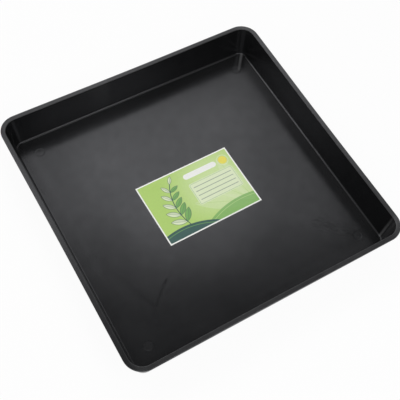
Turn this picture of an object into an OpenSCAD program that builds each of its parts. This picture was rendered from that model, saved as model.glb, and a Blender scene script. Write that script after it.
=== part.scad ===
// Shallow square garden tray for standing plant pots in: one plastic moulding and its paper label.
// The origin is at the middle of the tray, on the ground that it stands on. Millimetres, +Z up.

/* [Tray] */
// Outside length of each side of the square rim
side = 600; // [400:5:800]
// Height from the underside to the top of the rim
height = 70; // [50:1:80]
// Thickness of the floor
floor_t = 2.2; // [1.6:0.1:3]
// Thickness of the walls, measured square to their faces
wall_t = 2.4; // [1.6:0.1:3]
// Lean of the walls away from upright, in degrees
draft = 8; // [4:0.2:11]
// Corner radius of the rim, seen from above
corner_r = 38; // [36:1:60]
// Fillet inside, where the walls rise from the floor
fillet_r = 3; // [2:0.5:5]
// Rounding outside, at the foot of the walls
foot_r = 2.2; // [1:0.2:3]

/* [Crowned floor] */
// Rise of the floor at its middle, as a low vault whose four faces meet along the diagonals
crown = 3.8; // [2:0.1:5]
// Distance from the rim's outer edges at which the vault springs from the floor's flat border
crown_inset = 45; // [42:1:54]

/* [Rim] */
// Width of the flat rim, from the opening to the outer edge
rim_w = 9.5; // [7:0.5:12]
// Thickness of the flat rim and of its lip
rim_t = 2.2; // [1.6:0.1:2.6]
// Drop of the turned-down lip, below the top of the rim
lip_drop = 3.6; // [3.4:0.2:8]
// Rounding of the lip's two lower edges
lip_r = 0.5; // [0.2:0.1:0.7]
// Fillet under the rim, where it leaves the wall
under_r = 0.9; // [0.5:0.1:1.5]
// Rounding of the rim's outer edge
edge_r = 1.4; // [0.5:0.1:1.5]
// Rounding of the opening's edge
opening_r = 1.6; // [0.5:0.1:2]

/* [Moulding marks] */
// Diameter of each ejector pin's mark on the floor
pin_d = 19; // [10:1:24]
// Depth of an ejector pin's mark
pin_depth = 0.15; // [0.1:0.05:0.5]
// Distance of the pin marks from the rim's outer edges
pin_inset = 60; // [56:1:90]
// Diameter of the dish round the gate, on the underside
gate_d = 14; // [8:1:20]
// Depth of the gate's dish
gate_depth = 0.6; // [0.4:0.1:0.8]
// Diameter of the stub that is left in the dish
stub_d = 3; // [1:0.5:5]
// Height of the stub, which stays inside the dish
stub_h = 0.4; // [0.1:0.1:0.4]

/* [Label] */
// Length of the label, along X
label_w = 215; // [100:1:260]
// Width of the label, along Y
label_d = 148; // [60:1:200]
// Thickness of the label's paper
label_t = 0.2; // [0.1:0.05:0.4]
// Place of the label's middle on the floor, from the tray's middle
label_at = [1, -6];
// Turn of the label on the floor, in degrees
label_turn = 0.9; // [-5:0.1:5]

/* [Hidden] */
$fn = 96;

// Half the distance between the corners' centres, which every rounded outline of the tray shares
core = side / 2 - corner_r;
// The section's points lie at a distance out from the corners' centres, and at a height
lean = tan(draft);
opening_u = corner_r - rim_w;
floor_u = opening_u - (height - floor_t) * lean;
skin_u = wall_t / cos(draft);
foot_u = floor_u - floor_t * lean + skin_u;
under_z = height - rim_t;
under_u = foot_u + under_z * lean;
lip_z = height - lip_drop;
// Directions along the edges of the section
up_wall = [sin(draft), cos(draft)];
out = [1, 0];
up = [0, 1];
// Each face of the vault is part of a cylinder, which passes through its springing lines and over its ridge
spring = side / 2 - crown_inset;
crown_r = (spring * spring + crown * crown) / (2 * crown);
// Number of sides that a full circle of that radius has
crown_sides = 7200;
// How far the vault's blank runs past its springing lines, where it slopes down into the floor
skirt = 3;
// Number of flat strips, side by side, in the bent sheet that the label is cut from
label_strips = 60;
// How far a rounding's blank runs past the edges that it joins
margin = 0.5;
// How far an arc runs past its tangent points, so that it meets the edges cleanly
bite = 0.002;
// Extra depth of a cut past the face that it opens
clear = 1;

function unit(v) = v / norm(v);

// Height of the vault above its springing lines, at a distance from its ridge
function vault_z(x) = sqrt(crown_r * crown_r - x * x) - crown_r + crown;

// The piece between a corner's two edges and an arc of radius r that touches both
module spandrel(corner, along, across, r) {
    bisector = unit(along + across);
    half_angle = acos(along * bisector);
    centre = corner + bisector * r / sin(half_angle);
    tangent = r / tan(half_angle);
    reach = 1 + margin / r;
    difference() {
        polygon([
            centre,
            centre + (corner + along * tangent - centre) * reach,
            corner - bisector * margin / sin(half_angle),
            centre + (corner + across * tangent - centre) * reach
        ]);
        translate(centre)
            circle(r = r + bite);
    }
}

// Section of the floor's edge, wall and rim, with square corners
module sharp_section() {
    polygon([
        [0, 0],
        [foot_u, 0],
        [under_u, under_z],
        [corner_r - rim_t, under_z],
        [corner_r - rim_t, lip_z],
        [corner_r, lip_z],
        [corner_r, height],
        [opening_u, height],
        [floor_u, floor_t],
        [0, floor_t]
    ]);
}

// The same section with its fillets and its rounded edges
module section() {
    difference() {
        union() {
            sharp_section();
            spandrel([floor_u, floor_t], -out, up_wall, fillet_r);
            spandrel([under_u, under_z], out, -up_wall, under_r);
        }
        spandrel([foot_u, 0], -out, up_wall, foot_r);
        spandrel([corner_r, height], -out, -up, edge_r);
        spandrel([opening_u, height], out, -up_wall, opening_r);
        spandrel([corner_r, lip_z], -out, up, lip_r);
        spandrel([corner_r - rim_t, lip_z], out, up, lip_r);
    }
}

// A straight side of the tray, on +X
module straight_side() {
    translate([core, 0, 0])
        rotate([90, 0, 0])
            linear_extrude(height = 2 * core, center = true)
                section();
}

// A corner of the tray, where the section sweeps a quarter turn, on +X +Y
module round_corner() {
    translate([core, core, 0])
        rotate_extrude(angle = 90)
            section();
}

// Solid under a low barrel vault, whose ridge runs along Y
module barrel() {
    rotate([90, 0, 0])
        linear_extrude(height = 2 * (spring + skirt), center = true)
            intersection() {
                translate([0, crown - crown_r])
                    circle(r = crown_r, $fn = crown_sides);
                translate([-spring - skirt, -clear])
                    square([2 * (spring + skirt), crown + 2 * clear]);
            }
}

// Solid under the floor's vault, with its springing lines at height z
module vault(z) {
    translate([0, 0, z])
        intersection() {
            barrel();
            rotate([0, 0, 90])
                barrel();
        }
}

// The moulding without its marks: four sides, four corners, and a floor that is crowned alike on both faces
module shell() {
    difference() {
        union() {
            translate([-core, -core, 0])
                cube([2 * core, 2 * core, floor_t]);
            for (turn = [0:90:270])
                rotate([0, 0, turn]) {
                    straight_side();
                    round_corner();
                }
            vault(floor_t);
        }
        vault(0);
    }
}

// Round marks that the ejector pins leave on the floor, one at each corner, sunk evenly below the vault
module pin_marks() {
    pin_at = side / 2 - pin_inset;
    difference() {
        for (x = [-pin_at, pin_at], y = [-pin_at, pin_at])
            translate([x, y, floor_t - pin_depth])
                cylinder(d = pin_d, h = crown + pin_depth + clear);
        vault(floor_t - pin_depth);
    }
}

// Dish with the stub of the gate, in the middle of the underside
module gate_dish() {
    difference() {
        translate([0, 0, -clear])
            cylinder(d = gate_d, h = crown + gate_depth + clear);
        translate([0, 0, crown + gate_depth - stub_h])
            cylinder(d = stub_d, h = stub_h + clear);
    }
}

// The tray: floor, leaning walls with conical corners, and flat rim, all one moulding
module tray() {
    color([0.12, 0.125, 0.13])
        difference() {
            shell();
            pin_marks();
            gate_dish();
        }
}

// A sheet of paper bent over the floor's vault, with its ridge along Y
module bent_sheet() {
    step = 2 * spring / label_strips;
    under = [for (i = [0:label_strips]) [step * i - spring, floor_t + vault_z(step * i - spring)]];
    over = [for (i = [label_strips:-1:0]) under[i] + [0, label_t]];
    rotate([90, 0, 0])
        linear_extrude(height = 2 * spring, center = true)
            polygon(concat(under, over));
}

// The label: a printed piece of that sheet, stuck on the floor
module label() {
    color([0.78, 0.88, 0.66])
        intersection() {
            bent_sheet();
            translate([label_at.x, label_at.y, 0])
                rotate([0, 0, label_turn])
                    linear_extrude(height = height)
                        square([label_w, label_d], center = true);
        }
}

tray();
label();
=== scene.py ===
"""Looks of a shallow square garden tray and its paper label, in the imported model's frame, in metres."""
import math
import bpy
from mathutils import Matrix, Vector


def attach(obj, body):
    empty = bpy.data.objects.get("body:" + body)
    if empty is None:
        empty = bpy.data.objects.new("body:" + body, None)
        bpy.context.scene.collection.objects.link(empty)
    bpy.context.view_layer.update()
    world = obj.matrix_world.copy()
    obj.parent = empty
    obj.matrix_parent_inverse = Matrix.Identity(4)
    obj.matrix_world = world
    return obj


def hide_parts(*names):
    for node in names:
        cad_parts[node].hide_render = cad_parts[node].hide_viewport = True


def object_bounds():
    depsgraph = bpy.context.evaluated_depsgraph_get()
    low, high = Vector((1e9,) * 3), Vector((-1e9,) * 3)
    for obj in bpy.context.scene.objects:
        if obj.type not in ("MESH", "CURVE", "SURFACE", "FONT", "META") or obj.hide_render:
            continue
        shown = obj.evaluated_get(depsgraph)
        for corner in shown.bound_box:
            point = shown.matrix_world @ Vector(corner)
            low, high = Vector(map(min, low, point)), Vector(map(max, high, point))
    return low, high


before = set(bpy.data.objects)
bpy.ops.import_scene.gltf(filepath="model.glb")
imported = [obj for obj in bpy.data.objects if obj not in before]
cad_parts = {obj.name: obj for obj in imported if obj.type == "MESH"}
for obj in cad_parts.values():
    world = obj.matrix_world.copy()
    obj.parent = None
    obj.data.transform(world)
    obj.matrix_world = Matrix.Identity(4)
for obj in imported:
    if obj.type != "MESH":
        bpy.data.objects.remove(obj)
CAD_LOW, CAD_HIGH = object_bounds()
MM = 0.001
UP = (0, 0, 1)

# The tray's section: distances out from the corners' shared centres, and heights
HALF_SIDE = CAD_HIGH.x
HEIGHT = CAD_HIGH.z
CORNER_R = 38 * MM
CORE = HALF_SIDE - CORNER_R
FLOOR_T = 2.2 * MM
WALL_T = 2.4 * MM
DRAFT = math.radians(8)
FILLET_R = 3 * MM
FOOT_R = 2.2 * MM
RIM_W = 9.5 * MM
RIM_T = 2.2 * MM
LIP_DROP = 3.6 * MM
EDGE_R = 1.4 * MM
OPENING_R = 1.6 * MM
LIP_EDGE_R = 0.5 * MM
UNDER_R = 0.9 * MM

# The floor's crown: a low vault whose four faces meet along the diagonals, in slightly softened creases
CROWN = 3.8 * MM
SPRING = HALF_SIDE - 45 * MM
CREASE_POWER = 32

# How the moulding has warped: each side bows in and sags at its middle
BOW = 0.9 * MM
SAG = 0.5 * MM

# Moulding marks: four ejector pins on the floor, and the gate on the underside
PIN_R = 9.5 * MM
PIN_DEPTH = 0.15 * MM
PIN_AT = 240 * MM
GATE_R = 7 * MM
GATE_DEPTH = 0.6 * MM
STUB_R = 1.5 * MM
STUB_H = 0.4 * MM

# A mark's softened edge: the step between its rings, and the share of the depth that it starts with
MARK_EDGE = 0.6 * MM
MARK_EDGE_SHARE = 0.15

# Fineness of the tray's mesh: cells along the floor, steps round a corner, turn of one step of an arc,
# length of a step on a straight run, and how near to its ends a run is held flat
FLOOR_CELLS = 64
CORNER_STEPS = 16
ARC_STEP = math.radians(11)
RUN_STEP = 8 * MM
HOLD = 0.35 * MM

# A mark lies in a window so many cells wide, and each cell's edge there faces three points of its first ring
WINDOW = 4
RING_PER_CELL = 3

# The label: its sheet, its place on the floor, its mesh and how its corners lift
LABEL_W = 215 * MM
LABEL_D = 148 * MM
LABEL_T = 0.2 * MM
LABEL_AT = (1 * MM, -6 * MM)
LABEL_TURN = math.radians(0.9)
LABEL_CELL = 5 * MM
LABEL_SHARP = math.radians(40)
LABEL_GAP = 0.03 * MM
CORNER_LIFT = 0.7 * MM
CORNER_LIFT_REACH = 30 * MM


class Draft:
    """The points and faces of a mesh in the making."""

    def __init__(self):
        self.points = []
        self.faces = []

    def point(self, x, y, z):
        self.points.append((x, y, z))
        return len(self.points) - 1

    def face(self, *corners):
        kept = [corner for i, corner in enumerate(corners) if corner != corners[i - 1]]
        if len(kept) > 2:
            self.faces.append(kept)

    def finished(self, name, material):
        mesh = bpy.data.meshes.new(name)
        mesh.from_pydata(self.points, [], self.faces)
        mesh.validate()
        mesh.shade_smooth()
        mesh.materials.append(material)
        piece = bpy.data.objects.new(name, mesh)
        bpy.context.scene.collection.objects.link(piece)
        return piece


def arc(corner, back, ahead, radius):
    """Points of the arc that rounds a corner, where back and ahead point along the corner's two edges."""
    half = back.angle(ahead) / 2
    centre = corner + (back + ahead).normalized() * radius / math.sin(half)
    spoke = corner + back * radius / math.tan(half) - centre
    turn = math.copysign(math.pi - 2 * half, ahead.cross(back))
    steps = max(2, math.ceil(abs(turn) / ARC_STEP))
    return [centre + Matrix.Rotation(turn * i / steps, 2) @ spoke for i in range(steps + 1)]


def rounded_path(corners):
    """Points along an open path of (u, z, radius) corners, with an arc at each corner between the ends."""
    places = [Vector((u, z)) for u, z, radius in corners]
    path = [places[0]]
    for i in range(1, len(corners) - 1):
        back = (places[i - 1] - places[i]).normalized()
        ahead = (places[i + 1] - places[i]).normalized()
        path += arc(places[i], back, ahead, corners[i][2])
    return path + [places[-1]]


def filled(path):
    """The path with its straight runs cut up, and a point near each end of a run that holds it flat."""
    dense = []
    for start, end in zip(path, path[1:]):
        length = (end - start).length
        cuts = [0]
        if length > 3 * HOLD:
            parts = max(1, round(length / RUN_STEP))
            cuts += [HOLD / length]
            cuts += [i / parts for i in range(1, parts)]
            cuts += [1 - HOLD / length]
        dense += [start + (end - start) * cut for cut in cuts]
    return dense + [path[-1]]


def section():
    """The section from the inside floor, up the wall, over the rim and lip, and down to the underside."""
    lean = math.tan(DRAFT)
    opening_u = CORNER_R - RIM_W
    floor_u = opening_u - (HEIGHT - FLOOR_T) * lean
    foot_u = floor_u - FLOOR_T * lean + WALL_T / math.cos(DRAFT)
    under_z = HEIGHT - RIM_T
    lip_z = HEIGHT - LIP_DROP
    corners = [
        (0, FLOOR_T, 0),
        (floor_u, FLOOR_T, FILLET_R),
        (opening_u, HEIGHT, OPENING_R),
        (CORNER_R, HEIGHT, EDGE_R),
        (CORNER_R, lip_z, LIP_EDGE_R),
        (CORNER_R - RIM_T, lip_z, LIP_EDGE_R),
        (CORNER_R - RIM_T, under_z, LIP_EDGE_R),
        (foot_u + under_z * lean, under_z, UNDER_R),
        (foot_u, 0, FOOT_R),
        (0, 0, 0),
    ]
    return filled(rounded_path(corners))


def stations():
    """Places round the core square, anticlockwise: a point on the square and the direction out from it."""
    ring = []
    for quarter in range(4):
        spin = Matrix.Rotation(quarter * math.pi / 2, 2)
        for i in range(FLOOR_CELLS):
            base = Vector((CORE, CORE * (2 * i / FLOOR_CELLS - 1)))
            ring.append((spin @ base, spin @ Vector((1, 0))))
        for i in range(CORNER_STEPS):
            angle = i / CORNER_STEPS * math.pi / 2
            out = Vector((math.cos(angle), math.sin(angle)))
            ring.append((spin @ Vector((CORE, CORE)), spin @ out))
    return ring


class Sheet:
    """A square sheet of cells over the core square, facing up or down, with round marks let into it."""

    def __init__(self, draft, z, up):
        self.draft = draft
        self.z = z
        self.up = up
        self.known = {}
        self.windows = []

    def corner(self, i, j):
        if (i, j) not in self.known:
            x, y = (CORE * (2 * k / FLOOR_CELLS - 1) for k in (i, j))
            self.known[i, j] = self.draft.point(x, y, self.z)
        return self.known[i, j]

    def nearest(self, base):
        """The sheet's corner at a place on the core square's edge."""
        return self.corner(*(round((c / CORE + 1) / 2 * FLOOR_CELLS) for c in base))

    def face(self, *corners):
        self.draft.face(*(corners if self.up else reversed(corners)))

    def mark(self, x, y, profile):
        """A round mark. Its profile is (radius, depth) pairs from its edge inward, with its middle last."""
        i, j = (round((c / CORE + 1) / 2 * FLOOR_CELLS) - WINDOW // 2 for c in (x, y))
        self.windows.append((i, j))
        edge = [self.corner(i + k, j) for k in range(WINDOW)]
        edge += [self.corner(i + WINDOW, j + k) for k in range(WINDOW)]
        edge += [self.corner(i + WINDOW - k, j + WINDOW) for k in range(WINDOW)]
        edge += [self.corner(i, j + WINDOW - k) for k in range(WINDOW)]
        count = len(edge) * RING_PER_CELL
        into = -1 if self.up else 1
        # The rings start where the window's edge does, towards its first corner
        angles = [2 * math.pi * (k / count - 3 / 8) for k in range(count)]
        rings = []
        for radius, depth in profile[:-1]:
            rings.append([self.draft.point(x + radius * math.cos(a), y + radius * math.sin(a),
                                           self.z + into * depth) for a in angles])
        middle = self.draft.point(x, y, self.z + into * profile[-1][1])
        self.skirt(edge, rings[0])
        for outer, inner in zip(rings, rings[1:]):
            for k in range(count):
                self.face(outer[k - 1], outer[k], inner[k], inner[k - 1])
        for k in range(count):
            self.face(rings[-1][k - 1], rings[-1][k], middle)

    def skirt(self, edge, ring):
        """Faces between a window's edge and the first ring of the mark in it."""
        for k in range(len(edge)):
            here, there = edge[k], edge[(k + 1) % len(edge)]
            near = [ring[(RING_PER_CELL * k + step) % len(ring)] for step in range(RING_PER_CELL + 1)]
            self.face(here, near[1], near[0])
            self.face(here, there, near[2], near[1])
            self.face(there, near[3], near[2])

    def fill(self):
        """Cells everywhere outside the marks' windows."""
        for i in range(FLOOR_CELLS):
            for j in range(FLOOR_CELLS):
                if not any(0 <= i - a < WINDOW and 0 <= j - b < WINDOW for a, b in self.windows):
                    self.face(self.corner(i, j), self.corner(i + 1, j),
                              self.corner(i + 1, j + 1), self.corner(i, j + 1))


def sunk(radius, depth):
    """The profile of a flat mark with a softened edge, and a ring either side that keeps the shading flat."""
    steps = ((2, 0), (1, 0), (0, MARK_EDGE_SHARE), (-1, 1 - MARK_EDGE_SHARE), (-2, 1), (-3, 1))
    return [(radius + step * MARK_EDGE, depth * share) for step, share in steps]


def middle_share(along):
    """1 at the middle of a side, falling smoothly to 0 at its ends."""
    return max(0, 1 - along * along) ** 2


def crown(x, y):
    """How far the crowned floor stands up at a place."""
    across = (abs(x / SPRING) ** CREASE_POWER + abs(y / SPRING) ** CREASE_POWER) ** (1 / CREASE_POWER)
    return CROWN * max(0, 1 - across ** 2)


def warped(x, y, z):
    """Where the floor's crown and the moulding's warp put a point of the flat, straight tray."""
    rise = z / HEIGHT
    bend_x = rise * middle_share(y / CORE) if abs(x) > CORE else 0
    bend_y = rise * middle_share(x / CORE) if abs(y) > CORE else 0
    return (x - math.copysign(BOW * bend_x, x),
            y - math.copysign(BOW * bend_y, y),
            z - SAG * (bend_x + bend_y) + crown(x, y))


def make_tray(material):
    """The tray: its section swept round the core square, closed by the floor's two sheets."""
    draft = Draft()
    inside = Sheet(draft, FLOOR_T, up=True)
    underside = Sheet(draft, 0, up=False)
    for x in (-PIN_AT, PIN_AT):
        for y in (-PIN_AT, PIN_AT):
            inside.mark(x, y, sunk(PIN_R, PIN_DEPTH) + [(0, PIN_DEPTH)])
    stub_top = GATE_DEPTH - STUB_H
    stub = [(STUB_R + MARK_EDGE, GATE_DEPTH), (STUB_R, stub_top), (STUB_R / 2, stub_top), (0, stub_top)]
    underside.mark(0, 0, sunk(GATE_R, GATE_DEPTH) + stub)
    inside.fill()
    underside.fill()
    between = section()[1:-1]
    ribs = []
    for base, out in stations():
        rib = [inside.nearest(base)]
        rib += [draft.point(*(base + out * u), z) for u, z in between]
        ribs.append(rib + [underside.nearest(base)])
    for rib, following in zip(ribs, ribs[1:] + ribs[:1]):
        for k in range(len(rib) - 1):
            draft.face(rib[k], rib[k + 1], following[k + 1], following[k])
    draft.points = [warped(*point) for point in draft.points]
    return draft.finished("tray_shell", material)


def label_lift(x, y):
    """How far the sheet stands off the floor, most at its corners."""
    to_corner = math.hypot(LABEL_W / 2 - abs(x), LABEL_D / 2 - abs(y))
    near = max(0, 1 - to_corner / CORNER_LIFT_REACH)
    return LABEL_GAP + CORNER_LIFT * near ** 2


def label_side(draft, place, columns, rows, thickness):
    """The points of one side of the label, by column and row."""
    side = {}
    for i in range(columns + 1):
        for j in range(rows + 1):
            x, y = LABEL_W * (i / columns - 0.5), LABEL_D * (j / rows - 0.5)
            spot = place @ Vector((x, y, 0))
            side[i, j] = draft.point(x, y, thickness + label_lift(x, y) + crown(spot.x, spot.y))
    return side


def make_label(material):
    """The label: a thin closed sheet of paper that follows the floor."""
    place = Matrix.Translation((*LABEL_AT, FLOOR_T)) @ Matrix.Rotation(LABEL_TURN, 4, "Z")
    columns, rows = round(LABEL_W / LABEL_CELL), round(LABEL_D / LABEL_CELL)
    draft = Draft()
    under = label_side(draft, place, columns, rows, 0)
    top = label_side(draft, place, columns, rows, LABEL_T)
    for i in range(columns):
        for j in range(rows):
            draft.face(top[i, j], top[i + 1, j], top[i + 1, j + 1], top[i, j + 1])
            draft.face(under[i, j], under[i, j + 1], under[i + 1, j + 1], under[i + 1, j])
    rim = [(i, 0) for i in range(columns)] + [(columns, j) for j in range(rows)]
    rim += [(columns - i, rows) for i in range(columns)] + [(0, rows - j) for j in range(rows)]
    for here, there in zip(rim, rim[1:] + rim[:1]):
        draft.face(under[here], under[there], top[there], top[here])
    piece = draft.finished("label_sheet", material)
    piece.data.set_sharp_from_angle(angle=LABEL_SHARP)
    piece.matrix_world = place
    return piece


def linear(red, green, blue):
    """A colour as written for a screen, 0 to 255, as the linear colour that a shader takes."""
    def one(c):
        c /= 255
        return c / 12.92 if c <= 0.04045 else ((c + 0.055) / 1.055) ** 2.4
    return (one(red), one(green), one(blue), 1)


# Values between which most of a noise lies, cells to the metre of the noise that makes a line wander, and
# cosines between which a surface begins to look a given way
NOISE_LOW, NOISE_HIGH = 0.3, 0.7
WANDER_CELLS = 45
LOOKS_FROM, LOOKS_FULLY = 0.1, 0.4


class Shader:
    """A node material in the making. Its functions take values or sockets, and give sockets."""

    def __init__(self, name):
        self.material = bpy.data.materials.new(name)
        self.material.use_nodes = True
        self.tree = self.material.node_tree
        self.surface = self.tree.nodes["Principled BSDF"]
        self.place = self.node("TexCoord").outputs["Object"]

    def put(self, socket, value):
        if isinstance(value, bpy.types.NodeSocket):
            self.tree.links.new(value, socket)
        else:
            socket.default_value = value

    def node(self, kind, *values, **settings):
        made = self.tree.nodes.new("ShaderNode" + kind)
        for key, value in settings.items():
            setattr(made, key, value)
        for socket, value in zip(made.inputs, values):
            self.put(socket, value)
        return made

    def math(self, operation, *values, clamp=False):
        return self.node("Math", *values, operation=operation, use_clamp=clamp).outputs[0]

    def times(self, first, *others):
        for other in others:
            first = self.math("MULTIPLY", first, other)
        return first

    def vector(self, operation, *values):
        return self.node("VectorMath", *values, operation=operation).outputs["Vector"]

    def length(self, vector):
        return self.node("VectorMath", vector, operation="LENGTH").outputs["Value"]

    def dot(self, first, second):
        return self.node("VectorMath", first, second, operation="DOT_PRODUCT").outputs["Value"]

    def parts(self, vector):
        return self.node("SeparateXYZ", vector).outputs

    def joined(self, x, y, z=0.0):
        return self.node("CombineXYZ", x, y, z).outputs[0]

    def turned(self, vector, centre, angle):
        """A place turned back by an angle round an upright axis."""
        made = self.node("VectorRotate", vector, centre, rotation_type="Z_AXIS")
        made.inputs["Angle"].default_value = -angle
        return made.outputs[0]

    def spread(self, value, low, high, to_low, to_high, smooth=False):
        """A value between low and high, as one between to_low and to_high."""
        kind = "SMOOTHSTEP" if smooth else "LINEAR"
        made = self.node("MapRange", value, low, high, to_low, to_high, interpolation_type=kind)
        return made.outputs["Result"]

    def plan(self):
        """The place seen from above, in millimetres."""
        return self.vector("MULTIPLY", self.place, (1 / MM, 1 / MM, 0))

    def noise(self, cells, detail=2.0, roughness=0.5, output="Fac", place=None):
        """Noise with so many cells to the metre, or to the unit of another place."""
        made = self.node("TexNoise")
        self.put(made.inputs["Vector"], place or self.place)
        self.put(made.inputs["Scale"], cells)
        self.put(made.inputs["Detail"], detail)
        self.put(made.inputs["Roughness"], roughness)
        return made.outputs[output]

    def patches(self, cells, detail, low, high):
        """Noise between two values, both of which it reaches in places."""
        return self.spread(self.noise(cells, detail), NOISE_LOW, NOISE_HIGH, low, high)

    def mixed(self, share, first, second):
        made = self.tree.nodes.new("ShaderNodeMix")
        made.data_type = "RGBA"
        for name, value in (("Factor", share), ("A", first), ("B", second)):
            fitting = [s for s in made.inputs if s.name == name and s.enabled]
            self.put(fitting[0], value)
        return next(s for s in made.outputs if s.enabled)

    def bump(self, height, distance, under=None):
        made = self.node("Bump")
        self.put(made.inputs["Strength"], 1.0)
        self.put(made.inputs["Distance"], distance)
        self.put(made.inputs["Height"], height)
        if under:
            self.put(made.inputs["Normal"], under)
        return made.outputs[0]

    def drifted(self, wander):
        """The plan with its places moved about by up to a distance, so that what is drawn on it wanders."""
        if not wander:
            return self.plan()
        drift = self.noise(WANDER_CELLS, detail=1, output="Color")
        drift = self.vector("SUBTRACT", drift, (0.5, 0.5, 0.5))
        return self.vector("ADD", self.plan(), self.vector("MULTIPLY", drift, (2 * wander, 2 * wander, 0)))

    def near_line(self, start, end, width, fades_to=1.0, wander=0.0):
        """1 on a line between two places on the plan, falling smoothly to 0 at a distance of its width."""
        along = Vector(end) - Vector(start)
        past = self.vector("SUBTRACT", self.drifted(wander), (*start, 0))
        share = self.math("DIVIDE", self.dot(past, (*along, 0)), along.length_squared, clamp=True)
        foot = self.vector("MULTIPLY", self.joined(share, share, share), (*along, 0))
        near = self.spread(self.length(self.vector("SUBTRACT", past, foot)), 0, width, 1, 0, smooth=True)
        return self.times(near, self.spread(share, 0, 1, 1, fades_to))

    def streaks(self, start, end, length, width, wander):
        """Noise drawn out into streaks along the line between two places on the plan."""
        heading = math.atan2(end[1] - start[1], end[0] - start[0])
        turned = self.turned(self.drifted(wander), (0, 0, 0), heading)
        return self.noise(1, detail=1, place=self.vector("DIVIDE", turned, (length, width, 1)))

    def faces(self, way):
        """1 where the surface looks a given way, and 0 elsewhere."""
        share = self.dot(self.node("TexCoord").outputs["Normal"], way)
        return self.spread(share, LOOKS_FROM, LOOKS_FULLY, 0, 1)

    def set(self, **values):
        """Values and sockets for the surface, by the names of its inputs."""
        for name, value in values.items():
            self.put(self.surface.inputs[name.replace("_", " ")], value)


# The plastic's linear colours
BLACK = (0.0046, 0.0048, 0.0053, 1)
GREYED_BLACK = (0.0098, 0.0100, 0.0105, 1)
SPECK_GREY = (0.014, 0.0145, 0.015, 1)
PIN_GREY = (0.0125, 0.0127, 0.0135, 1)
DUST_GREY = (0.0125, 0.0126, 0.0130, 1)
RUBBED_GREY = (0.021, 0.0212, 0.0216, 1)
SHINE_TINT = (0.94, 0.95, 1, 1)

# Its roughness and what a rubbed rim adds to it, its specular level, and the share of that left where dull
SMOOTHEST, ROUGHEST, RIM_ROUGHER = 0.18, 0.23, 0.12
HAZED, CLEAR = 0.40, 0.60
DULL_SHINE = 0.4

# Cells to the metre of its noise, and the heights of its relief in millimetres
MOTTLE_CELLS, SPECK_CELLS, RUB_CELLS, BREAK_CELLS = 60, 420, 70, 110
SHEEN_CELLS, HAZE_CELLS = 9, 45
WAVE_CELLS, RIPPLE_CELLS, GRAIN_CELLS = 22, 70, 1400
WAVE_RISE, RIPPLE_RISE, GRAIN_RISE = 0.03, 0.012, 0.002

# Its noise as shares: the values of the noise that each change lies between, and the shares there
SPECK_CHANGE = (0.68, 0.78, 0, 0.3)
BREAK_CHANGE = (0.35, 0.6, 0.6, 1)
WRINKLE_CHANGE = (0.4, 0.6, -1, 1)

# Wear, with places and widths in millimetres: how far down the rim is rubbed, and the least rubbed share
RIM_RUB = 2.4
RIM_RUB_LEAST = 0.7

# How far from the middle the grime along the walls' feet starts and is full, and how dull it is
GRIME_FROM, GRIME_FULL = 252, 274
GRIME_DULLS = 0.33

# The widths of a pin mark's edge and of the dull ring there
PIN_EDGE_W, PIN_RING_W = 1, 2

# Changes from the near corner to the far one: the sums of x and y that they lie between, and the shares there
PIN_CHANGE = (-400, -100, 1, 0.2)
PIN_RING_CHANGE = (100, 400, 0.15, 0.8)
DUST_CHANGE = (-500, 0, 0.1, 0.8)

# Lighter and darker marks: painted highlights, a painted reflection and painted shade on the rims, a wall and
# the walls' feet, and two pale streaks. Each has a start, end, width, the way that the marked face looks and
# tone. A mark fades to a share at its end, and is slightly bluer than grey
PAINTED_LIGHT_AND_STREAKS = (
    # Two pale streaks: on the far corner's floor, and up the wall where the right corner begins
    ((274, 273), (247, 239), 5, UP, 0.13),
    ((279, -262), (288, -262), 4.5, (-1, 0, 0), 0.16),
    # Painted highlights on the far-right rim and on the far and right corners' rims
    ((296, 280), (296, -270), 14, UP, 0.045),
    ((290, 287), (264, 297), 14, UP, 0.065),
    ((297, -266), (276, -294), 14, UP, 0.065),
    # Painted shade on the near-left rim and on the near-right rim
    ((-296, -290), (-296, -20), 14, UP, 0.004),
    ((90, -296), (-10, -296), 14, UP, 0.008),
    # A painted reflection on the far-left wall, and a painted highlight on the far-left rim
    ((-66, 298), (-104, 298), 25, (0, -1, 0), 0.024),
    ((-60, 296), (-130, 296), 14, UP, 0.032),
    # Painted shade on the left corner's rim
    ((-297, 262), (-290, 286), 14, UP, 0.010),
    # Painted highlights along the feet of the far-left and far-right walls
    ((-262, 278), (262, 278), 1.7, UP, 0.085),
    ((278.7, 262), (278.7, -262), 1.7, UP, 0.05),
)
MARK_FADES_TO = 0.3
MARK_BLUE = 1.03

# Creases of the floor: start, end, width, rise, wander and loss of shine
CREASES = (
    ((-100, -95), (-150, -142), 6, 0.06, 0, 0),
    ((-149, -141), (-191, -180), 5, -0.06, 4, 0.75),
    ((-191, -180), (-234, -223), 4, -0.02, 5, 0.2),
    ((-225, -93), (-209, -147), 8, -0.02, 9, 0.2),
    ((-209, -147), (-192, -178), 6, -0.02, 6, 0.35),
)
CREASE_FADES_TO = 0.7

# Patches of fine wrinkles: start, end and width. Then the wrinkles' own sizes, rise and loss of shine
WRINKLED = (
    ((186, -178), (238, -234), 26),
)
WRINKLE_L, WRINKLE_W, WRINKLE_WANDER = 24, 3.2, 5
WRINKLE_RISE, WRINKLE_DULLS = 0.05, 0.45


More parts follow.
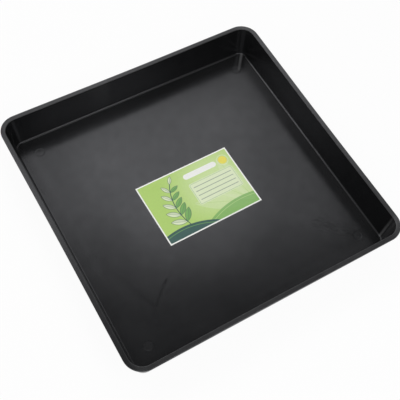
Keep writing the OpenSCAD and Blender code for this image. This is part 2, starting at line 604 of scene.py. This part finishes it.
class Plastic(Shader):
    """The tray's plastic in the making. Its relief and its loss of shine are added to bit by bit."""

    def __init__(self, name):
        super().__init__(name)
        self.rise = 0.0
        self.dull = 0.0
        self.up = self.faces(UP)
        self.height = self.math("DIVIDE", self.parts(self.place)[2], MM)
        x, y, _ = self.parts(self.plan())
        self.afar = self.math("ADD", x, y)
        beside = self.vector("ABSOLUTE", self.plan())
        across, along, _ = self.parts(beside)
        self.outward = self.math("MAXIMUM", across, along)
        self.from_pin = self.length(self.vector("SUBTRACT", beside, (PIN_AT / MM, PIN_AT / MM, 0)))

    def lift(self, share, rise):
        self.rise = self.math("ADD", self.rise, self.times(share, rise))

    def fade(self, *shares):
        self.dull = self.math("MAXIMUM", self.dull, self.times(*shares))

    def grime(self):
        """1 on the floor at the walls' feet, and 0 away from them."""
        share = self.spread(self.outward, GRIME_FROM, GRIME_FULL, 0, 1, smooth=True)
        return self.times(share, self.math("LESS_THAN", self.height, HEIGHT / MM / 2), self.up)

    def rubbed_rim(self):
        """Nearly 1 on the rim, in patches, and 0 below it."""
        top = HEIGHT / MM
        share = self.spread(self.height, top - RIM_RUB, top - RIM_RUB / 2, 0, 1, smooth=True)
        return self.times(share, self.patches(RUB_CELLS, 4, RIM_RUB_LEAST, 1))

    def coloured(self, grime, rim):
        """Mottled black with specks, greyer pin marks, dust, a rubbed rim, two pale streaks, and painted
        highlights, a painted reflection and painted shade.
        """
        colour = self.mixed(self.noise(MOTTLE_CELLS, detail=3), BLACK, GREYED_BLACK)
        speck = self.spread(self.noise(SPECK_CELLS, detail=1), *SPECK_CHANGE)
        colour = self.mixed(speck, colour, SPECK_GREY)
        pin = self.spread(self.from_pin, PIN_R / MM - PIN_EDGE_W, PIN_R / MM, 1, 0)
        pin = self.times(pin, self.up, self.spread(self.afar, *PIN_CHANGE))
        colour = self.mixed(pin, colour, PIN_GREY)
        dust = self.times(grime, self.spread(self.afar, *DUST_CHANGE))
        colour = self.mixed(dust, colour, DUST_GREY)
        colour = self.mixed(rim, colour, RUBBED_GREY)
        # Painted highlights, a painted reflection and painted shade, and two pale streaks, each on faces that
        # look one way
        for start, end, width, way, tone in PAINTED_LIGHT_AND_STREAKS:
            mark = self.times(self.near_line(start, end, width, MARK_FADES_TO), self.faces(way))
            colour = self.mixed(mark, colour, (tone, tone, MARK_BLUE * tone, 1))
        return colour

    def fade_moulding(self):
        """Dull rings round the pin marks, and a dull lip."""
        off_edge = self.math("ABSOLUTE", self.math("SUBTRACT", self.from_pin, PIN_R / MM))
        ring = self.spread(off_edge, 0, PIN_RING_W, 1, 0)
        self.fade(ring, self.spread(self.afar, *PIN_RING_CHANGE), self.up)
        lip = self.math("GREATER_THAN", self.height, (HEIGHT - LIP_DROP) / MM)
        self.fade(lip, self.math("SUBTRACT", 1, self.up))

    def crease(self, start, end, width, rise, wander, loss):
        """A crease's relief, and its loss of shine where it has any, broken up by noise."""
        crease = self.times(self.near_line(start, end, width, CREASE_FADES_TO, wander), self.up)
        self.lift(crease, rise)
        if loss:
            broken = self.spread(self.noise(BREAK_CELLS, detail=2), *BREAK_CHANGE)
            self.fade(crease, broken, loss)

    def wrinkle(self, start, end, width):
        """Fine wrinkles that run along a patch, with dull crests."""
        fine = self.streaks(start, end, WRINKLE_L, WRINKLE_W, WRINKLE_WANDER)
        fine = self.spread(fine, *WRINKLE_CHANGE)
        fine = self.times(fine, self.near_line(start, end, width), self.up)
        self.lift(fine, WRINKLE_RISE)
        self.fade(fine, WRINKLE_DULLS)


def tray_material():
    """Black moulded polypropylene: satin, with a handled haze, fine grain, a slow waviness and some wear."""
    s = Plastic("tray_plastic")
    grime, rim = s.grime(), s.rubbed_rim()
    s.set(Base_Color=s.coloured(grime, rim), Specular_Tint=SHINE_TINT)
    rough = s.patches(SHEEN_CELLS, 3, SMOOTHEST, ROUGHEST)
    s.set(Roughness=s.math("ADD", rough, s.times(rim, RIM_ROUGHER)))
    s.lift(s.noise(WAVE_CELLS, detail=1), WAVE_RISE)
    s.lift(s.noise(RIPPLE_CELLS, detail=2), RIPPLE_RISE)
    s.fade(grime, GRIME_DULLS)
    s.fade_moulding()
    for crease in CREASES:
        s.crease(*crease)
    for patch in WRINKLED:
        s.wrinkle(*patch)
    haze = s.spread(s.noise(HAZE_CELLS, detail=4, roughness=0.6), 0, 1, HAZED, CLEAR)
    s.set(Specular_IOR_Level=s.times(haze, s.spread(s.dull, 0, 1, 1, DULL_SHINE)))
    grain = s.times(s.noise(GRAIN_CELLS, detail=2), GRAIN_RISE)
    s.set(Normal=s.bump(grain, MM, under=s.bump(s.rise, MM)))
    return s.material


class Print(Shader):
    """A printed sheet in the making: inks are laid on each other over flat shapes, placed in millimetres."""

    def __init__(self, name, paper):
        super().__init__(name)
        self.spot = self.plan()
        self.colour = paper

    def disc(self, x, y, radius):
        """Distance from a disc's edge, under 0 inside."""
        away = self.length(self.vector("SUBTRACT", self.spot, (x, y, 0)))
        return self.math("SUBTRACT", away, radius)

    def bar(self, x, y, width, height, radius):
        """Distance from the edge of a bar with round corners."""
        away = self.vector("ABSOLUTE", self.vector("SUBTRACT", self.spot, (x, y, 0)))
        past = self.vector("SUBTRACT", away, (width / 2 - radius, height / 2 - radius, 0))
        past = self.vector("MAXIMUM", past, (0, 0, 0))
        return self.math("SUBTRACT", self.length(past), radius)

    def leaf(self, x, y, heading, length, width):
        """Distance from the edge of a leaf that grows from a place, and from its midrib to one side."""
        middle = (x + math.cos(heading) * length / 2, y + math.sin(heading) * length / 2, 0)
        turned = self.turned(self.spot, middle, heading)
        along, aside, _ = self.parts(self.vector("SUBTRACT", turned, middle))
        radius = (length ** 2 + width ** 2) / (4 * width)
        swell = self.joined(along, self.math("ADD", self.math("ABSOLUTE", aside), radius - width / 2))
        return self.math("SUBTRACT", self.length(swell), radius), aside

    def line(self, distance, inset, width):
        """Distance from the edge of a line drawn round the inside of a shape."""
        return self.math("SUBTRACT", self.math("ABSOLUTE", self.math("ADD", distance, inset)), width / 2)

    def both(self, first, second):
        return self.math("MAXIMUM", first, second)

    def cover(self, distance):
        """1 where a shape is inked and 0 outside it."""
        return self.spread(distance, -INK_EDGE, INK_EDGE, 1, 0)

    def lay(self, ink, distance, strength=1.0):
        share = self.cover(distance)
        if strength < 1:
            share = self.times(share, strength)
        self.colour = self.mixed(share, self.colour, ink)


# The label's paper and inks, the softness of their edges in millimetres, and the paper's looks
PAPER = linear(249, 250, 246)
LIME = linear(181, 215, 112)
PALE_LIME = linear(210, 232, 164)
CREAM = linear(230, 241, 205)
TEAL = linear(50, 90, 84)
LEAF_GREEN = linear(124, 180, 94)
YELLOW = linear(242, 228, 92)
INK_EDGE = 0.25
INK_MOTTLE = 0.06
PAPER_SMOOTHEST, PAPER_ROUGHEST = 0.40, 0.50
PAPER_GRAIN = 0.02 * MM
INK_CELLS, SHINE_CELLS, FIBRE_CELLS = 260, 60, 900

# Its print, in millimetres from its middle: discs as (x, y, radius), bars as (x, y, width, height, radius)
BORDER, BORDER_R = 2.8, 1.5
PALE_AT, PALE_R, LIME_R = (50, 10), 15, 130
FAN_FOOT = (98, -66)
FAN_HEADINGS = (100, 128, 156)
FAN_LEAF_L, FAN_LEAF_W = 128, 34
RIGHT_HILL = (74, -232, 188)
LEFT_HILL = (-70, -206, 157)
HILL_LINE_AT = 6
PANEL = (44, 3, 104, 54, 5)
WHITE_BAR = (31, 49, 78, 13, 6.4)
SUN = (87, 49, 9.5)
SUN_RING_AT = -2.6
RULED_ROWS = 4
FIRST_ROW = 18.5
ROW_STEP = 10.5
ROW_L, ROW_W, ROW_R = 90, 1.3, 0.6

# The sprig on it: its stem's arc, where its leaves start, and the leaves
STEM_CENTRE = (62, -8)
STEM_R = 118
STEM_W = 1.8
STEM_WITHIN = (-47, -2, 46, 104, 4)
STEM_FOOT, STEM_TIP = math.radians(206), math.radians(151)
STEM_STARTS = 0.16
LEAF_PAIRS = 5
LEAF_L, LEAF_W = 34, 13
LEAF_SPREAD = math.radians(50)
LEAF_OUTLINE = 0.8
MIDRIB_INSET, MIDRIB_W = 2.2, 0.8
TIP_SIZE = 0.6


def print_ground(s):
    """Lime that pales towards one side, with a fan of large faint leaves and two hills along its foot."""
    from_pale = s.length(s.vector("SUBTRACT", s.spot, (*PALE_AT, 0)))
    s.colour = s.mixed(s.spread(from_pale, PALE_R, LIME_R, 1, 0, smooth=True), LIME, PALE_LIME)
    for heading in FAN_HEADINGS:
        edge, aside = s.leaf(*FAN_FOOT, math.radians(heading), FAN_LEAF_L, FAN_LEAF_W)
        s.lay(CREAM, edge, strength=0.30)
        s.lay(LIME, s.both(edge, s.line(aside, inset=0, width=1.2)), strength=0.5)
    right_hill = s.disc(*RIGHT_HILL)
    s.lay(LEAF_GREEN, right_hill, strength=0.85)
    s.lay(PALE_LIME, s.line(right_hill, HILL_LINE_AT, width=1.0), strength=0.7)
    left_hill = s.disc(*LEFT_HILL)
    s.lay(TEAL, left_hill)
    s.lay(LEAF_GREEN, s.line(left_hill, HILL_LINE_AT, width=1.2), strength=0.8)


def print_leaf(s, x, y, heading, size, ink):
    """A leaf with an outline, a midrib and a slightly darker half."""
    edge, aside = s.leaf(x, y, heading, LEAF_L * size, LEAF_W * size)
    s.lay(TEAL, edge)
    inner = s.math("ADD", edge, LEAF_OUTLINE)
    s.lay(ink, inner)
    s.lay(TEAL, s.both(inner, aside), strength=0.16)
    midrib = s.both(s.math("ADD", edge, MIDRIB_INSET), s.line(aside, inset=0, width=MIDRIB_W))
    s.lay(TEAL, midrib, strength=0.6)


def print_sprig(s):
    """A curved stem with leaves in pairs, pale on one side and green on the other, and one at its tip."""
    stem = s.line(s.disc(*STEM_CENTRE, STEM_R), inset=0, width=STEM_W)
    s.lay(TEAL, s.both(stem, s.bar(*STEM_WITHIN)))
    for i in range(LEAF_PAIRS + 1):
        share = i / LEAF_PAIRS
        angle = STEM_FOOT + (STEM_TIP - STEM_FOOT) * (STEM_STARTS + (1 - STEM_STARTS) * share)
        x = STEM_CENTRE[0] + STEM_R * math.cos(angle)
        y = STEM_CENTRE[1] + STEM_R * math.sin(angle)
        size = 1 + (TIP_SIZE - 1) * share
        growing = angle - math.pi / 2
        if i == LEAF_PAIRS:
            print_leaf(s, x, y, growing, size, CREAM)
        else:
            print_leaf(s, x, y, growing + LEAF_SPREAD, size, CREAM)
            print_leaf(s, x, y, growing - LEAF_SPREAD, size, LEAF_GREEN)


def print_panel(s):
    """A cream panel with ruled lines to write on, under a plain white bar and a sun."""
    panel = s.bar(*PANEL)
    s.lay(CREAM, panel)
    s.lay(LEAF_GREEN, s.line(panel, inset=2, width=0.8), strength=0.8)
    for row in range(RULED_ROWS):
        s.lay(TEAL, s.bar(PANEL[0], FIRST_ROW - ROW_STEP * row, ROW_L, ROW_W, ROW_R), strength=0.75)
    s.lay(PAPER, s.bar(*WHITE_BAR))
    sun = s.disc(*SUN)
    s.lay(CREAM, s.line(sun, SUN_RING_AT, width=1.2))
    s.lay(YELLOW, sun)


def label_material():
    """Coated paper with a generic print: a leafy sprig, low hills, a sun and a ruled panel to write on."""
    s = Print("label_paper", PAPER)
    print_ground(s)
    print_sprig(s)
    print_panel(s)
    inside = s.bar(0, 0, LABEL_W / MM - 2 * BORDER, LABEL_D / MM - 2 * BORDER, BORDER_R)
    facing = s.parts(s.node("TexCoord").outputs["Normal"])[2]
    printed = s.times(s.cover(inside), s.math("GREATER_THAN", facing, 0.5))
    design = s.mixed(s.patches(INK_CELLS, 3, 0, INK_MOTTLE), s.colour, TEAL)
    s.set(Base_Color=s.mixed(printed, PAPER, design))
    s.set(Roughness=s.patches(SHINE_CELLS, 2, PAPER_SMOOTHEST, PAPER_ROUGHEST))
    s.set(Normal=s.bump(s.noise(FIBRE_CELLS, detail=3), PAPER_GRAIN))
    return s.material


# The studio: a white floor that curves up into a round wall, in metres
WHITE = (1, 1, 1, 1)
SWEEP_PAPER = (0.9, 0.9, 0.9, 1)
FLOOR_R = 4.0
COVE_R = 1.5
WALL_TOP = 2.2
STAGE_STEPS = 96
COVE_STEPS = 12
WHITE_SHARE = 0.94
WORLD_LEVEL = 0.215

# The lamps: azimuth and elevation in degrees, distance, width and height in metres, and brightness
LAMPS = (
    ("back_high_softbox", 25, 60, 1.92, 1.8, 1.0, 0.36),
    ("back_wide_softbox", 31, 49, 1.90, 1.8, 1.15, 0.64),
    ("back_small_softbox", 25, 53.5, 1.88, 0.95, 0.7, 0.76),
    ("back_top_softbox", 31, 66, 1.86, 0.64, 0.36, 0.88),
    ("back_left_softbox", 2, 58, 1.86, 0.65, 0.52, 0.22),
    ("left_softbox", -35, 50, 2.0, 0.8, 0.6, 3.9),
    ("left_low_softbox", -52, 20, 2.0, 0.8, 0.6, 2.0),
    ("front_right_softbox", 164, 55, 2.0, 0.7, 1.3, 3.9),
    ("front_softbox", 222, 48, 2.0, 1.2, 1.0, 2.1),
)


def stage_material():
    """White paper sweep. It shows nearly white by itself, and takes enough light to show a shadow."""
    s = Shader("studio_white")
    nodes, links = s.tree.nodes, s.tree.links
    nodes.remove(s.surface)
    paper = s.node("BsdfDiffuse", SWEEP_PAPER)
    glow = s.node("Emission", WHITE, 1.0)
    path = s.node("LightPath").outputs
    seen = s.math("ADD", path["Is Camera Ray"], path["Is Glossy Ray"])
    seen = s.math("ADD", seen, path["Is Transmission Ray"], clamp=True)
    mix = s.node("MixShader", s.times(seen, WHITE_SHARE))
    links.new(paper.outputs[0], mix.inputs[1])
    links.new(glow.outputs[0], mix.inputs[2])
    links.new(mix.outputs[0], nodes["Material Output"].inputs["Surface"])
    return s.material


def make_stage():
    """The floor and the wall round it, as one turned sheet."""
    profile = [(FLOOR_R, 0.0)]
    for i in range(1, COVE_STEPS + 1):
        angle = i / COVE_STEPS * math.pi / 2
        profile.append((FLOOR_R + COVE_R * math.sin(angle), COVE_R * (1 - math.cos(angle))))
    profile.append((FLOOR_R + COVE_R, WALL_TOP))
    draft = Draft()
    centre = draft.point(0, 0, 0)
    spokes = []
    for k in range(STAGE_STEPS):
        angle = 2 * math.pi * k / STAGE_STEPS
        spoke = [draft.point(r * math.cos(angle), r * math.sin(angle), z) for r, z in profile]
        spokes.append([centre] + spoke)
    for spoke, following in zip(spokes, spokes[1:] + spokes[:1]):
        for k in range(len(profile)):
            draft.face(spoke[k], spoke[k + 1], following[k + 1], following[k])
    draft.finished("studio_sweep", stage_material())


def direction(azimuth, elevation):
    """The unit direction to a place round the tray: azimuth from +Y towards +X, elevation above the floor."""
    a, e = math.radians(azimuth), math.radians(elevation)
    return Vector((math.sin(a) * math.cos(e), math.cos(a) * math.cos(e), math.sin(e)))


def softbox(name, azimuth, elevation, distance, width, height, brightness):
    """A soft rectangular lamp that faces the tray. Its brightness is its face's, where white paper is 1."""
    lamp = bpy.data.lights.new(name, "AREA")
    lamp.shape = "RECTANGLE"
    lamp.size, lamp.size_y = width, height
    lamp.energy = brightness * math.pi * width * height
    thing = bpy.data.objects.new(name, lamp)
    towards = direction(azimuth, elevation)
    thing.location = towards * distance
    thing.rotation_euler = towards.to_track_quat("Z", "Y").to_euler()
    thing.visible_camera = False
    bpy.context.scene.collection.objects.link(thing)


def make_lights():
    """An even white surround, and the lamps."""
    world = bpy.data.worlds.new("studio_air")
    world.use_nodes = True
    air = world.node_tree.nodes["Background"].inputs
    air["Color"].default_value = WHITE
    air["Strength"].default_value = WORLD_LEVEL
    bpy.context.scene.world = world
    for lamp in LAMPS:
        softbox(*lamp)


# The camera, at the photograph's viewing angle: lengths in pixels, place in metres, angles in degrees
IMAGE_SIDE = 400
FOCAL_PIXELS = 686.6
LENS_CENTRE = (215, 250)
CAMERA_AT = (-0.4032, -0.5977, 1.2270)
CAMERA_PITCH = 64.00
CAMERA_YAW = 38.39
CAMERA_ROLL = -8.92


def make_camera():
    """The camera, shifted as far as the photograph's framing needs."""
    lens = bpy.data.cameras.new("view")
    lens.lens = lens.sensor_width * FOCAL_PIXELS / IMAGE_SIDE
    lens.shift_x = 0.5 - LENS_CENTRE[0] / IMAGE_SIDE
    lens.shift_y = LENS_CENTRE[1] / IMAGE_SIDE - 0.5
    camera = bpy.data.objects.new("view", lens)
    ahead = direction(CAMERA_YAW, -CAMERA_PITCH)
    level = ahead.cross(Vector(UP)).normalized()
    upright = level.cross(ahead)
    roll = math.radians(CAMERA_ROLL)
    up = upright * math.cos(roll) + level * math.sin(roll)
    right = ahead.cross(up)
    turn = Matrix((right, up, -ahead)).transposed()
    camera.matrix_world = Matrix.Translation(CAMERA_AT) @ turn.to_4x4()
    bpy.context.scene.collection.objects.link(camera)
    bpy.context.scene.camera = camera


def main():
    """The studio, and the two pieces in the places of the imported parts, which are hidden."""
    bpy.context.scene.view_settings.view_transform = "Standard"
    make_camera()
    make_lights()
    make_stage()
    for piece, node, slot in (
        (make_tray(tray_material()), "tray", "tray_plastic"),
        (make_label(label_material()), "label", "label_paper"),
    ):
        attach(piece, "root")
        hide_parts(node)


main()
